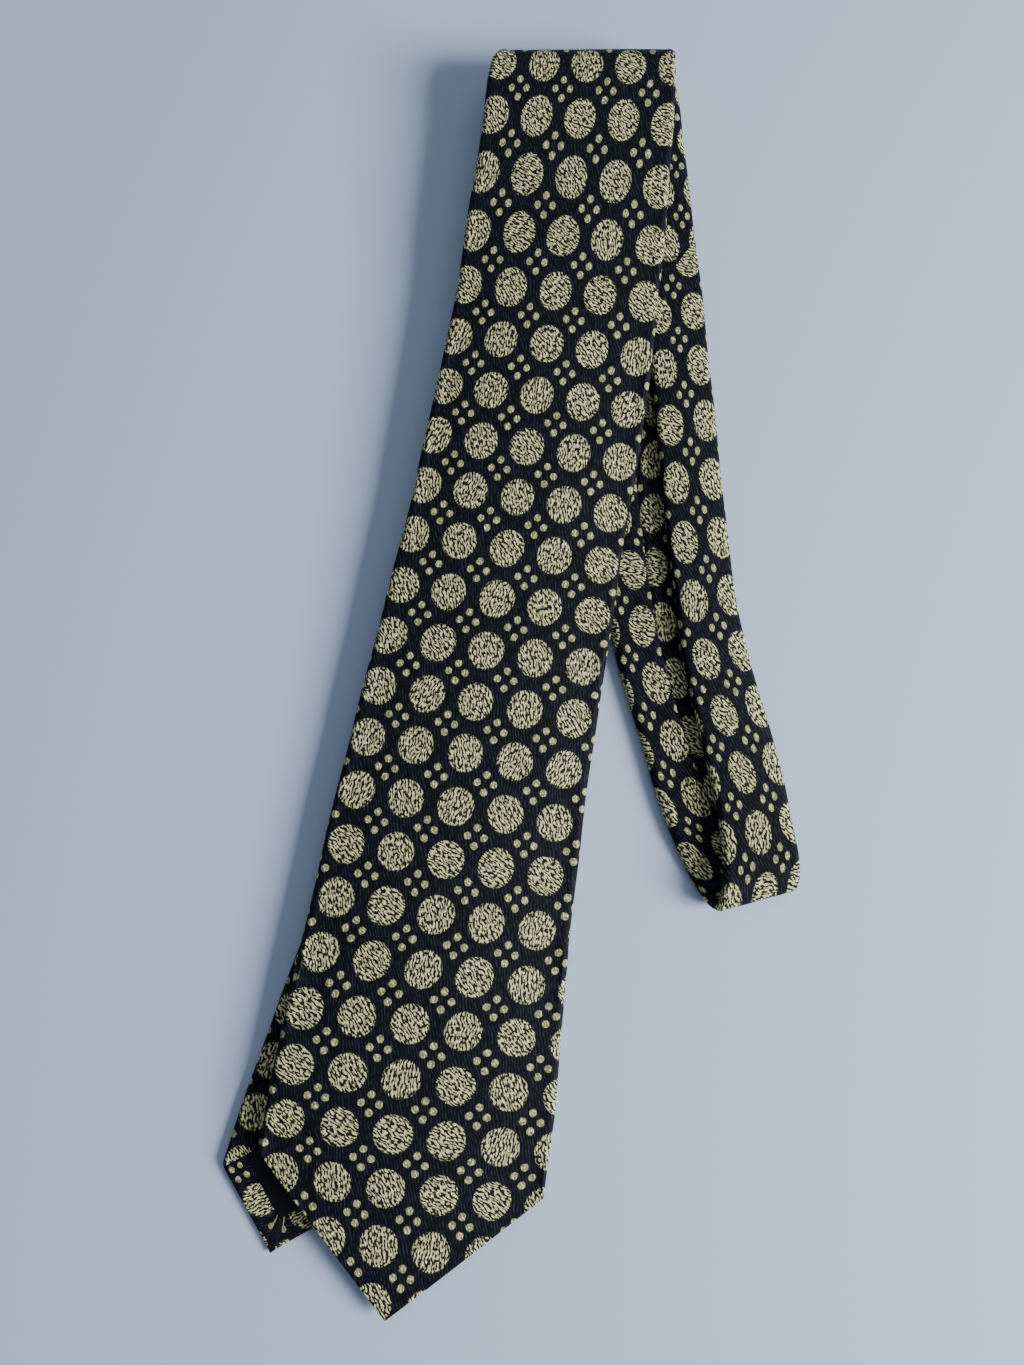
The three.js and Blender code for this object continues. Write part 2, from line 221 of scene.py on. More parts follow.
def half_turn(start, end, outward, steps=10, tuck=0.0):
    """Rows round a fold, from one row to the next, bulging outward. The left edge draws in by tuck."""
    rows = []
    for step in range(1, steps):
        share = step / steps
        angle = math.pi * share
        points = start.points * (1 - share) + end.points * share
        middle = (start.points[:, 2] + end.points[:, 2]) / 2
        radius = (start.points[:, 2] - end.points[:, 2]) / 2
        points[:, 2] = middle + radius * math.cos(angle)
        points[:, :2] += np.abs(radius)[:, None] * math.sin(angle) * np.array(outward)
        points[0, 0] += tuck * math.sin(angle) ** 2
        rows.append(Row(*points, start.thick * (1 - share) + end.thick * share))
    return rows


def tip_rows(node, far_y, thick, face_up):
    """A point's rows at its tip and corners, half its width, and its cut edges' slopes. far_y is past it."""
    points = cad_points(node)
    lowest = points[points[:, 1] < points[:, 1].min() + 0.9][:, :2]
    tip = (lowest.min(0) + lowest.max(0)) / 2
    tip[1] = points[:, 1].min()
    corners = []
    for end, side in zip(section_ends([node], np.array([0.0, far_y]), X_AXIS), (-1, 1)):
        line = unit(end - tip)
        out = side * np.array([line[1], -line[0]])
        corners.append(points[((points[:, :2] - tip) @ out).argmax()][:2])
    left, right = corners
    half = np.linalg.norm(right - left) / 2
    across = unit(right - left)
    axis = np.array([-across[1], across[0]])
    corner_row = cut_row([node], (left + right) / 2 + 3.0 * axis, across, thick, face_up)
    heights = corner_row.points[:, 2]
    tip_z = cad_height(node, *(tip + 2.0 * axis), face_up) - (1 if face_up else -1) * EDGE_THICK / 2
    sides = [[*(tip + side * half * across), z + tip_z - heights[1]]
             for side, z in ((-1, heights[0]), (1, heights[2]))]
    down = unit(corner_row.points[1, :2] - tip)
    slopes = [float((corner - tip) @ down) / half for corner in corners]
    return Row(sides[0], [*tip, tip_z], sides[1], thick), corner_row, half, slopes


def run_rows(nodes, ys, thick, face_up, flat_end, flat_length=70.0, end_across=X_AXIS):
    """Rows up a run, square to its middle line, and turning to a fold's line near flat_end."""
    rows = []
    for y in ys:
        share = smooth(1 - abs(flat_end - y) / flat_length)
        across = unit((1 - share) * row_across(nodes, y) + share * end_across)
        ends = section_ends(nodes, np.array([0.0, y]), X_AXIS)
        rows.append(cut_row(nodes, sum(ends) / 2, across, thick, face_up))
    return rows


def blade_rows():
    tip_row, corner_row, half, slopes = tip_rows("blade_shell", -90.0, BLADE_THICK, True)
    fold_y = OUTER_FOLD["y"]
    ys = np.linspace(-140.0, fold_y - 22.0, 10)
    rows = run_rows(["blade_shell"], ys, BLADE_THICK, True, fold_y)
    top = cut_row(["blade_shell"], np.array([20.0, fold_y - 1.0]), X_AXIS, BLADE_THICK, True)
    top.points[:, 1] = fold_y
    top.points[:, 2] = OUTER_FOLD["z"] + OUTER_FOLD["radius"]
    return [tip_row, corner_row, *rows, top], half, slopes


def middle_height(node, thick):
    """The height of the middle surface, where a node's top is the tie's."""
    return cad_box(node)[1][2] - thick / 2


def fold_of(above, below, thicks, heights):
    """A fold at the top, between the node above and the one below: where it turns, and its radius."""
    radius = (heights[0] - heights[1]) / 2
    top = max(cad_box(above)[1][1], cad_box(below)[1][1])
    return {"y": top - radius - sum(thicks) / 4, "z": sum(heights) / 2, "radius": radius}


UPPER_Z = cad_height("tail_shell_return", 50.0, 180.0, True) - UPPER_THICK / 2
TAIL_Z = middle_height("tail_shell", TAIL_THICK)
OUTER_FOLD = fold_of("blade_shell", "blade_shell_return", (BLADE_THICK, BLADE_THICK),
                     (middle_height("blade_shell", BLADE_THICK), BLADE_THICK / 2))
INNER_FOLD = fold_of("tail_shell", "tail_shell_return", (TAIL_THICK, UPPER_THICK), (TAIL_Z, UPPER_Z))


def neck_rows():
    """From below the outer fold, round the loop, to the start of the inner fold."""
    lower = ["blade_shell_return", "neck_lower_shell"]
    upper = ["neck_upper_shell", "tail_shell_return"]
    start = fold_row(lower, OUTER_FOLD, BLADE_THICK / 2, BLADE_THICK)
    loop_start = loop_row("neck_lower_shell", BLADE_THICK / 2, BLADE_THICK)
    loop_end = loop_row("neck_upper_shell", middle_height("neck_loop_shell", UPPER_THICK), UPPER_THICK)
    line = unit((loop_start.points[2] - loop_start.points[0])[:2])
    loop = half_turn(loop_start, loop_end, [line[1], -line[0]], 8)
    down = run_rows(lower, NECK_HEIGHTS[:3], BLADE_THICK, False, OUTER_FOLD["y"])
    down += run_rows(lower, NECK_HEIGHTS[3:], BLADE_THICK, False, LOOP_HEIGHT, 40.0, line)
    up = run_rows(upper, NECK_HEIGHTS[:4:-1], UPPER_THICK, True, LOOP_HEIGHT, 40.0, line)
    up += run_rows(upper, NECK_HEIGHTS[4::-1], UPPER_THICK, True, INNER_FOLD["y"])
    end = fold_row(upper, INNER_FOLD, UPPER_Z, UPPER_THICK)
    return [start, *down, loop_start, *loop, loop_end, *up, end]


def tail_rows():
    """From above the inner fold down to the tail's tip."""
    start = fold_row(["tail_shell"], INNER_FOLD, TAIL_Z, TAIL_THICK)
    ys = np.linspace(INNER_FOLD["y"] - 27.0, -136.0, 9)
    down = run_rows(["tail_shell"], ys, TAIL_THICK, False, INNER_FOLD["y"])
    tip_row, corner_row, half, slopes = tip_rows("tail_shell", -115.0, TAIL_THICK, False)
    return [start, *down, corner_row, tip_row], half, slopes


class Ribbon:
    """The tie's middle surface: a length s from the blade's tip and a share t across from -1 to 1."""

    STEP = 1.0

    def __init__(self, rows):
        knots = np.array([row.points for row in rows])
        thick = np.array([row.thick for row in rows])
        chords = np.linalg.norm(np.diff(knots[:, 1], axis=0), axis=1)
        where = np.concatenate([[0], np.cumsum(chords)])
        self.length = where[-1]
        self.s = np.arange(0, self.length + self.STEP, self.STEP)
        self.points = self._curve(where, knots.reshape(len(rows), 9)).reshape(-1, 3, 3)
        self.thick = np.interp(self.s, where, thick)
        self.along = np.gradient(self.points, axis=0)
        self.half = np.linalg.norm(self.points[:, 2] - self.points[:, 0], axis=1) / 2
        self.knots = where

    def _curve(self, where, knots):
        """A cubic through the knots, with slopes from their neighbours."""
        gaps = np.diff(where)
        steps = np.diff(knots, axis=0) / gaps[:, None]
        slopes = np.empty_like(knots)
        before, after = gaps[:-1, None], gaps[1:, None]
        slopes[1:-1] = (steps[:-1] * after + steps[1:] * before) / (after + before)
        slopes[0], slopes[-1] = steps[0], steps[-1]
        i = np.clip(np.searchsorted(where, self.s, side="right") - 1, 0, len(gaps) - 1)
        t = ((self.s - where[i]) / gaps[i])[:, None]
        a, b = knots[i], knots[i + 1]
        ma, mb = slopes[i] * gaps[i][:, None], slopes[i + 1] * gaps[i][:, None]
        return ((2 * t**3 - 3 * t**2 + 1) * a + (t**3 - 2 * t**2 + t) * ma
                + (3 * t**2 - 2 * t**3) * b + (t**3 - t**2) * mb)

    def _sample(self, table, s):
        x = np.clip(s / self.STEP, 0, len(self.s) - 1.001)
        i = x.astype(int)
        share = (x - i).reshape(x.shape + (1,) * (table.ndim - 1))
        return table[i] * (1 - share) + table[i + 1] * share

    def half_at(self, s):
        return self._sample(self.half, s)

    def thick_at(self, s):
        return self._sample(self.thick, s)

    def place(self, s, x, h):
        """Points at a length s, x mm across from the middle and h mm above the middle surface."""
        beyond = s - np.clip(s, 0, self.length)
        left, middle, right = (self._sample(self.points[:, i], s) for i in range(3))
        d_left, d_middle, d_right = (self._sample(self.along[:, i], s) for i in range(3))
        t = (x / self.half_at(s))[..., None]
        bend = (left + right) / 2 - middle
        d_bend = (d_left + d_right) / 2 - d_middle
        point = middle + (right - left) / 2 * t + bend * t * t
        across = (right - left) / 2 + 2 * bend * t
        along = d_middle + (d_right - d_left) / 2 * t + d_bend * t * t
        face = unit(np.cross(across, along))
        return point + face * h[..., None] + unit(along) * beyond[..., None]


blade_run, BLADE_HALF, BLADE_SLOPES = blade_rows()
neck_run = neck_rows()
tail_run, TAIL_HALF, TAIL_SLOPES = tail_rows()
outer_turn = half_turn(blade_run[-1], neck_run[0], (0, 1), tuck=SHOULDER)
inner_turn = half_turn(neck_run[-1], tail_run[0], (0, 1))
ribbon_rows = [*blade_run, *outer_turn, *neck_run, *inner_turn, *tail_run]
ribbon = Ribbon(ribbon_rows)


def length_at(row):
    """How far along the ribbon a row lies."""
    return ribbon.knots[ribbon_rows.index(row)]


S_BLADE_TOP = length_at(blade_run[-1])
S_NECK_START = length_at(neck_run[0])
S_NECK_END = length_at(neck_run[-1])
S_TAIL_TOP = length_at(tail_run[0])
S_END = ribbon.length


# ---- the folded section

# The columns of the shell from the left flap's turned-under end, round the face, to the right flap's end
UNDER, TURN, LEFT_BACK, LEFT_RIM, FACE, RIGHT_RIM, RIGHT_BACK = range(7)


ZONES = [
    (UNDER, np.linspace(0, 1, 3)),
    (TURN, np.linspace(0, 1, 6)[1:-1]),
    (LEFT_BACK, np.concatenate([np.linspace(0, 0.25, 5)[:-1], np.linspace(0.25, 1, FLAP_COLUMNS - 4)])),
    (LEFT_RIM, np.linspace(0, 1, RIM_COLUMNS + 2)[1:-1]),
    (FACE, np.linspace(0, 1, FACE_COLUMNS)),
    (RIGHT_RIM, np.linspace(0, 1, RIM_COLUMNS + 2)[1:-1]),
    (RIGHT_BACK, np.concatenate([np.linspace(0, 0.6, FLAP_COLUMNS - 6)[:-1], np.linspace(0.6, 1, 8)])),
]
ZONE = np.concatenate([np.full(len(shares), zone) for zone, shares in ZONES])
VALUE = np.concatenate([shares for _, shares in ZONES])


def section(half, top, back, seam):
    """Across position, height and place on the unfolded cloth of every column."""
    zone = np.broadcast_to(ZONE, half.shape)
    v = np.broadcast_to(VALUE, half.shape)
    rise, middle = (top - back) / 2, (top + back) / 2
    rim = np.minimum(RIM_ROUNDNESS * rise, RIM_MOST * half)
    flat = half - rim
    rim_length = math.pi * np.sqrt((rim**2 + rise**2) / 2)
    far = 2 * flat + rim_length + seam
    roll = LAYER / 2
    seam_back = back - SEAM_RIDGE
    turn = math.pi * (1 - v)
    lean = math.pi * (v - 0.5)
    x_left = seam + (-flat - seam) * v
    x_right = flat + (seam - UNDER_REACH - flat) * v
    ridge = SEAM_RIDGE * smooth((x_left - seam + 8) / 7)
    dip = DIP_LAYERS * LAYER * smooth((seam + DIP_PAST - x_right) / DIP_LENGTH)
    crown = -CROWN * np.minimum(half / WIDE_HALF, 1) * (2 * v - 1) ** 2
    table = {
        UNDER: (seam - TURN_UNDER * (1 - v), seam_back + LAYER,
                -(far + math.pi * roll + TURN_UNDER * (1 - v))),
        TURN: (seam + roll * np.sin(turn), seam_back + roll * (1 - np.cos(turn)), -(far + roll * turn)),
        LEFT_BACK: (x_left, back - ridge, -(flat + rim_length + flat + x_left)),
        LEFT_RIM: (-flat - rim * np.cos(lean), middle + rise * np.sin(lean), -(flat + rim_length * (1 - v))),
        FACE: (flat * (2 * v - 1), top + crown, flat * (2 * v - 1)),
        RIGHT_RIM: (flat + rim * np.cos(lean), middle - rise * np.sin(lean), flat + rim_length * v),
        RIGHT_BACK: (x_right, back + dip - SEAM_RIDGE * smooth(dip), flat + rim_length + flat - x_right),
    }
    x, h, a = (np.zeros(half.shape) for _ in range(3))
    for name, (across, height, cloth) in table.items():
        here = zone == name
        for column, value in ((x, across), (h, height), (a, cloth)):
            column[here] = np.broadcast_to(value, half.shape)[here]
    return x, h, a


def seam_at(s):
    """How far the left flap's edge lies to the right of the middle."""
    return np.interp(s, *np.array(SEAM_PLACE, float).T)


def ripple(s, x):
    """How far the uneven face dips below its crown, in mm, less where the tie is narrow."""
    waves = np.sin(s / 13.7 + x / 19) + np.sin(s / 7.9 - x / 11 + 1.3) + 0.8 * np.sin(s / 29 + 0.4)
    return 0.09 * (waves - 2.8) * np.clip(ribbon.half_at(s) / WIDE_HALF, 0.3, 1)


def wander(s):
    """How far the rims wander in and out, in mm."""
    return 0.25 * np.sin(s / 8.3) * np.sin(s / 31)


def thin_to_edge(thick, b):
    """The tie's thickness b mm in from a pointed edge."""
    return thick - (thick - EDGE_THICK) * (1 - smooth(b / EDGE_LENGTH))


def hem_level(top, back):
    """The height of a hem's cloth, between the face and the back."""
    return np.minimum(top - HEM_UNDER_FACE, back + HEM_LAYERS * LAYER)


class Strip:
    """A length of the shell, from start(a) to stop(a), its two cut edges at a place a on the flat cloth."""

    def __init__(self, origin, heading, length, start=None, stop=None, start_fade=200.0, stop_fade=90.0):
        self.origin, self.heading, self.length = origin, heading, length
        self.start = start or chevron((0, 0))
        self.stop = stop or chevron((0, 0))
        self.start_fade, self.stop_fade = start_fade, stop_fade

    def offset(self, b, a):
        return (self.start(a) * np.clip(1 - b / self.start_fade, 0, 1)
                + self.stop(a) * np.clip(1 - (self.length - b) / self.stop_fade, 0, 1))

    def solve(self, b, inset=0.0, edge=False, inner=False):
        """Where every column of the rows b comes to lie: length s, across x, height h and cloth place a."""
        b = np.broadcast_to(b[:, None], (len(b), len(ZONE)))
        s = self.origin + self.heading * b
        for _ in range(5):
            thick = ribbon.thick_at(s)
            if edge:
                thick = thin_to_edge(thick, b)
            half = ribbon.half_at(s) - CLOTH / 2 - inset + wander(s)
            top = thick / 2 - CLOTH / 2 - inset
            back = -thick / 2 + CLOTH / 2 + inset
            if inner:
                half = half - LAYER
                top = hem_level(top, back)
                back = back + LAYER
            x, h, a = section(half, top, back, seam_at(s))
            s = self.origin + self.heading * (b + self.offset(b, a))
        return s, x, h + np.where(ZONE == FACE, ripple(s, x), 0), a


def row_places(length, dense=(-1, -1), hem=False):
    """Distances of the rows from a strip's start, closer together in the fold, between the two in dense."""
    places = [0.0, 0.7, 1.8] if hem else [0.0]
    while places[-1] < length:
        near = dense[0] <= places[-1] <= dense[1]
        places.append(places[-1] + (ROW_STEP / 2 if near else ROW_STEP))
    places[-1] = length
    if places[-1] - places[-2] < 0.5:
        places.pop(-2)
    return np.array(places)


# A cut end's rolled edge, in two rows: how far each draws in all round, and back from the end, in mm
CURL = ((0.25, -0.12), (0.8, 0.05))


def curl_part(strip, place, inset, back_off):
    """One row of a cut end's rolled edge."""
    s, x, h, a = strip.solve(np.array([place]), inset=inset)
    return ribbon.place(s - strip.heading * back_off, x, h), a, s


def shell_grid(strip, rows, hem_slopes=None, curl_start=False, curl_stop=False):
    """Points of a shell piece, with the pattern place (a, s) of each."""
    s, x, h, a = strip.solve(rows, edge=hem_slopes is not None)
    parts = [(ribbon.place(s, x, h), a, s)]
    if hem_slopes is not None:
        parts.insert(0, hem_grid(strip, hem_slopes))
    for inset, back_off in CURL:
        if curl_start:
            parts.insert(0, curl_part(strip, 0.0, inset, back_off))
        if curl_stop:
            parts.append(curl_part(strip, strip.length, inset, -back_off))
    return [np.concatenate([part[i] for part in parts]) for i in range(3)]


def hem_grid(strip, slopes):
    """The hem turned in behind a pointed end: its flat return, then the turn at the edge."""
    depth = HEM_WIDTH * math.sqrt(2)
    rows = [hem_row(strip, slopes, b, 0.0) for b in np.linspace(depth, 1.0, 5)]
    rows += [hem_row(strip, slopes, 0.0, math.pi * (1 - step / HEM_STEPS)) for step in range(HEM_STEPS)]
    return tuple(np.concatenate([row[i] for row in rows]) for i in range(3))


def hem_row(strip, slopes, b, angle):
    """One row of a hem, b mm in from the edge along the tie, or at an angle round its turn."""
    s, x, h, a = strip.solve(np.array([b]), edge=True, inner=True)
    if b == 0:
        s_out, x_out, h_out, a = strip.solve(np.array([0.0]), edge=True)
        share = (1 + math.cos(angle)) / 2
        bulge = np.abs(h_out - h) / 2 * math.sin(angle)
        pairs = ((x_out, x), (h_out, h), (s_out, s))
        x, h, s = (outer * share + inner * (1 - share) for outer, inner in pairs)
        s = s - strip.heading * bulge
    slope = np.where(a < 0, slopes[0], slopes[1])
    mirrored = 2 * b / (1 + slope**2)
    a_cloth = a + np.sign(a) * slope * mirrored
    s_cloth = s - strip.heading * mirrored
    return ribbon.place(s, x, h), a_cloth, s_cloth


def chevron(slopes):
    """A pointed end's cut edge: how far it runs up the tie at a place a on the unfolded cloth."""
    return lambda a: np.abs(a) * np.where(a < 0, slopes[0], slopes[1])


# ---- making meshes

# The flat area of each sheet, in mm2, by the piece's name
FLAT_AREA = {}

def make_object(name, points, faces, material, attributes=None):
    mesh = bpy.data.meshes.new(name)
    mesh.from_pydata((points.reshape(-1, 3) * MM).tolist(), [], faces)
    for key, values in (attributes or {}).items():
        layer = mesh.attributes.new(key, "FLOAT_VECTOR", "POINT")
        layer.data.foreach_set("vector", np.ascontiguousarray(values, dtype=np.float32).ravel())
    mesh.polygons.foreach_set("use_smooth", [True] * len(mesh.polygons))
    mesh.materials.append(material)
    obj = bpy.data.objects.new(name, mesh)
    bpy.context.scene.collection.objects.link(obj)
    return obj


def grid_faces(rows, columns):
    return [(r * columns + c, r * columns + c + 1, (r + 1) * columns + c + 1, (r + 1) * columns + c)
            for r in range(rows - 1) for c in range(columns - 1)]


def grid_object(name, points, material, attributes):
    """A sheet over a grid of points."""
    return make_object(name, points, grid_faces(*points.shape[:2]), material, attributes)


def thicken(obj, thickness):
    """Gives a cloth surface its thickness, half to each side, with crisp cut edges."""
    solid = obj.modifiers.new("thickness", "SOLIDIFY")
    solid.thickness = thickness * MM
    solid.offset = 0
    graph = bpy.context.evaluated_depsgraph_get()
    mesh = bpy.data.meshes.new_from_object(obj.evaluated_get(graph))
    obj.modifiers.clear()
    obj.data = mesh
    mesh.set_sharp_from_angle(angle=math.radians(50))
    return obj


def finish_sheet(obj, area):
    """Keeps a sheet's flat area."""
    FLAT_AREA[obj.name] = area
    return obj


def flat_area(a, s):
    """The area, in mm2, of a grid laid out flat."""
    p = np.stack([a, s], axis=-1)
    first, second = p[1:, 1:] - p[:-1, :-1], p[1:, :-1] - p[:-1, 1:]
    return float(np.abs(first[..., 0] * second[..., 1] - first[..., 1] * second[..., 0]).sum() / 2)


# ---- materials

def srgb(red, green, blue):
    """A colour from 0 to 255 as linear RGBA."""
    levels = [c / 255 for c in (red, green, blue)]
    linear = [c / 12.92 if c <= 0.04045 else ((c + 0.055) / 1.055) ** 2.4 for c in levels]
    return (*linear, 1.0)


def make_node(tree, kind, output, inputs, **settings):
    """A shader node with its settings and inputs. Gives back one of its outputs."""
    node = tree.nodes.new("ShaderNode" + kind)
    for name, setting in settings.items():
        setattr(node, name, setting)
    connect(tree, node, inputs)
    return Value(tree, node.outputs[output])


def connect(tree, node, inputs):
    """Gives a node's inputs their numbers, colours or links."""
    for socket, value in inputs.items():
        if isinstance(value, Value):
            tree.links.new(value.socket, node.inputs[socket])
        else:
            node.inputs[socket].default_value = value


class Value:
    """A number that nodes work out. Sums and products of it make math nodes."""

    def __init__(self, tree, socket):
        self.tree, self.socket = tree, socket

    def apply(self, operation, *others):
        return make_node(self.tree, "Math", 0, dict(enumerate((self, *others))), operation=operation)

    def __add__(self, other):
        return self.apply("ADD", other)

    def __sub__(self, other):
        return self.apply("SUBTRACT", other)

    def __mul__(self, other):
        return self.apply("MULTIPLY", other)

    def __truediv__(self, other):
        return self.apply("DIVIDE", other)

    def wave(self, turns, kind="SINE"):
        """A wave from 0 to 1, with so many turns for each unit."""
        return (self * (TAU * turns)).apply(kind) * 0.5 + 0.5


class Nodes:
    """Short forms for building a node material."""

    def __init__(self, name, roughness=0.7, sheen=0.0, specular=0.35):
        self.material = bpy.data.materials.new(name)
        self.material.use_nodes = True
        self.tree = self.material.node_tree
        self.put("Roughness", roughness)
        self.put("Sheen Weight", sheen)
        self.put("Sheen Roughness", 0.45)
        self.put("Specular IOR Level", specular)

    def put(self, socket, value):
        connect(self.tree, self.tree.nodes["Principled BSDF"], {socket: value})

    def vector(self, x, y, z=0.0):
        return make_node(self.tree, "CombineXYZ", "Vector", {"X": x, "Y": y, "Z": z})

    def attribute(self, name):
        """The x and y of a mesh attribute."""
        vector = make_node(self.tree, "Attribute", "Vector", {}, attribute_name=name)
        return [make_node(self.tree, "SeparateXYZ", axis, {"Vector": vector}) for axis in "XY"]

    def noise(self, vector, scale=1.0, detail=2.0):
        inputs = {"Vector": vector, "Scale": scale, "Detail": detail}
        return make_node(self.tree, "TexNoise", "Fac", inputs)

    def step(self, value, low, high):
        """0 below low and 1 above high, smoothly. Low may be above high."""
        inputs = {"Value": value, "From Min": low, "From Max": high}
        return make_node(self.tree, "MapRange", "Result", inputs, interpolation_type="SMOOTHSTEP")

    def mix(self, share, a, b):
        return make_node(self.tree, "Mix", 2, {0: share, 6: a, 7: b}, data_type="RGBA")

    def bump(self, height, depth_mm, strength=1.0):
        inputs = {"Height": height, "Distance": depth_mm * MM, "Strength": strength}
        self.put("Normal", make_node(self.tree, "Bump", "Normal", inputs))

    def colour(self, value):
        self.put("Base Color", value)


# The weave, in mm and radians, and the circles and dots, in columns
RIB_PITCH = 0.95
STRAND_TURN = 1.3
CIRCLE_RADIUS = 0.36
DOT_RADIUS = 0.07
DOT_OFFSET = 0.168


def distance(a, b):
    return (a * a + b * b).apply("SQRT")


def motif_distance(u, v):
    """How far a place lies from the nearest circle's centre and the nearest dot's centre, in columns."""
    to_circle = distance(u - u.apply("ROUND"), v - v.apply("ROUND"))
    au, av = ((w.apply("FRACT") - 0.5).apply("ABSOLUTE") for w in (u, v))
    return to_circle, distance(au.apply("MAXIMUM", av) - DOT_OFFSET, au.apply("MINIMUM", av))


def ground_ribs(n, p, q):
    """Fine ribs that wander a little: the wave across them, and where they catch the light."""
    drift = n.noise(n.vector(p, q), scale=0.085, detail=1.5)
    rib = drift * 4.2 + p / RIB_PITCH
    wave = rib.wave(1, "COSINE")
    # Painted highlight on the ribs' crests; a noise picks which ribs get it
    rib_highlight_patch = n.noise(n.vector((rib + 0.5).apply("FLOOR") * 3.3, q * 0.45), detail=1.5)
    return wave, n.step(wave, 0.45, 1.0) * n.step(rib_highlight_patch, 0.40, 0.66)


def cream_strands(n, u, v, p, q):
    """Short raised strands, leaning another way in each circle: where they lie, and each one's painted
    highlight on its raised crest mixed with a random tone.
    """
    circle = n.vector(u.apply("ROUND"), v.apply("ROUND"), 3.5)
    chance = make_node(n.tree, "TexWhiteNoise", "Value", {"Vector": circle})
    turn = chance * STRAND_TURN - 0.35 * STRAND_TURN
    cosine, sine = turn.apply("COSINE"), turn.apply("SINE")
    across = p * cosine + q * sine
    along = q * cosine - p * sine
    sway = n.noise(n.vector(across, along), scale=0.4, detail=0.0)
    wave = (sway * 2.0 + across / RIB_PITCH).wave(1, "COSINE")
    fleck = n.noise(n.vector(across * 1.25, along * 0.78), detail=1.0)
    raised = wave * 0.42 + fleck * 1.9
    tone = n.noise(n.vector(across * 0.9, along * 0.5, 7.0), detail=1.0)
    # Painted highlight: the higher a strand stands, the lighter it is coloured, plus a random tone
    crest_highlight_and_tone = n.step(raised, 1.12, 1.55) * 0.65 + tone * 0.6
    return n.step(raised, 1.06, 1.24), crest_highlight_and_tone, fleck


def shell_fabric():
    """Navy ribbed silk with cream circles and groups of four dots, woven in raised strands."""
    n = Nodes("shell_fabric", roughness=0.66, sheen=0.02, specular=0.12)
    u, v = n.attribute("lattice")
    p, q = n.attribute("threads")
    wave, lit_rib = ground_ribs(n, p, q)
    strand, crest_highlight_and_tone, fleck = cream_strands(n, u, v, p, q)

    # Ragged circles, each a little out of true, and dots
    uneven = n.noise(n.vector(u, v), scale=1.7, detail=0.0)
    to_circle, to_dot = motif_distance(u, v)
    ragged = to_circle + fleck * 0.09 + uneven * 0.06 - 0.075
    circle = n.step(ragged, CIRCLE_RADIUS + 0.012, CIRCLE_RADIUS - 0.012)
    dot = n.step(to_dot + fleck * 0.06, DOT_RADIUS + 0.040, DOT_RADIUS + 0.020)
    cream = circle.apply("MAXIMUM", dot)
    pattern = (circle * strand).apply("MAXIMUM", dot * (strand * 0.35 + 0.65))

    # Dark navy ground; its lighter ribs are painted highlight
    ground = n.mix(lit_rib, srgb(8, 11, 20), srgb(38, 45, 60))
    # The cream runs from painted shade low on each strand to painted highlight on its crest
    silk = n.mix(crest_highlight_and_tone, srgb(96, 99, 60), srgb(235, 235, 182))
    gaps = n.mix(cream, ground, srgb(24, 26, 30))
    n.colour(n.mix(pattern, gaps, silk))
    n.put("Roughness", pattern * -0.08 + 0.68)
    n.bump(wave * 0.3 + pattern * 0.65 + fleck * 0.3, 0.22, 0.8)
    return n.material


def satin_lining():
    """Dark navy satin with fine cross threads."""
    n = Nodes("satin_lining", roughness=0.38, sheen=0.0, specular=0.25)
    p, q = n.attribute("threads")
    fine = n.noise(n.vector(p * 4.5, q * 0.5))
    n.colour(n.mix(n.step(fine, 0.35, 0.7) * 0.6, srgb(5, 8, 15), srgb(14, 20, 33)))
    n.put("Roughness", n.noise(n.vector(p, q), scale=0.09) * 0.18 + 0.32)
    n.bump(fine, 0.05, 0.5)
    return n.material


def wool_interlining():
    """Pale wool canvas with a hairy face."""
    n = Nodes("wool_interlining", roughness=0.95, sheen=0.3, specular=0.1)
    p, q = n.attribute("threads")
    over, under = ((w * (TAU / 0.8)).apply("SINE") for w in (p, q))
    weave = over * under * 0.5 + 0.5
    hairs = n.noise(n.vector(p, q * 0.4), scale=2.2, detail=3.0)
    n.colour(n.mix(hairs * 0.6 + weave * 0.3, srgb(176, 168, 148), srgb(232, 226, 208)))
    n.bump(weave + hairs, 0.2, 0.8)
    return n.material


def sewing_thread():
    """Twisted dark thread."""
    n = Nodes("sewing_thread", roughness=0.5, sheen=0.1, specular=0.4)
    p, q = n.attribute("threads")
    twist = (q * 9.0 + p * 6.0).wave(1 / TAU)
    n.colour(n.mix(twist, srgb(13, 16, 26), srgb(44, 50, 64)))
    n.bump(twist, 0.06, 0.7)
    return n.material


def woven_label():
    """A plain damask label: dark ground with a woven cream border line and no lettering."""
    n = Nodes("woven_label", roughness=0.5, sheen=0.1, specular=0.4)
    p, q = n.attribute("threads")
    edge, _ = n.attribute("border")
    pick = q.wave(1 / 0.35)
    warp = n.noise(n.vector(p * 4.0, q), detail=1.0)
    line = n.step(edge, 1.1, 1.25) * n.step(edge, 1.9, 1.75)
    ground = n.mix(warp * pick, srgb(14, 18, 30), srgb(46, 54, 70))
    n.colour(n.mix(line * n.step(warp, 0.3, 0.5), ground, srgb(196, 192, 160)))
    n.bump(pick + warp, 0.08, 0.6)
    return n.material


SHELL = shell_fabric()
LINING = satin_lining()
WOOL = wool_interlining()
THREAD = sewing_thread()
LABEL = woven_label()


# ---- the pattern on the cloth

RIB_ANGLE = math.radians(16)


def threads_of(a, s):
    """The place across and along the ribs, in mm."""
    across = a * math.cos(RIB_ANGLE) + s * math.sin(RIB_ANGLE)
    along = -a * math.sin(RIB_ANGLE) + s * math.cos(RIB_ANGLE)
    return np.stack([across, along, 0 * a], axis=-1)


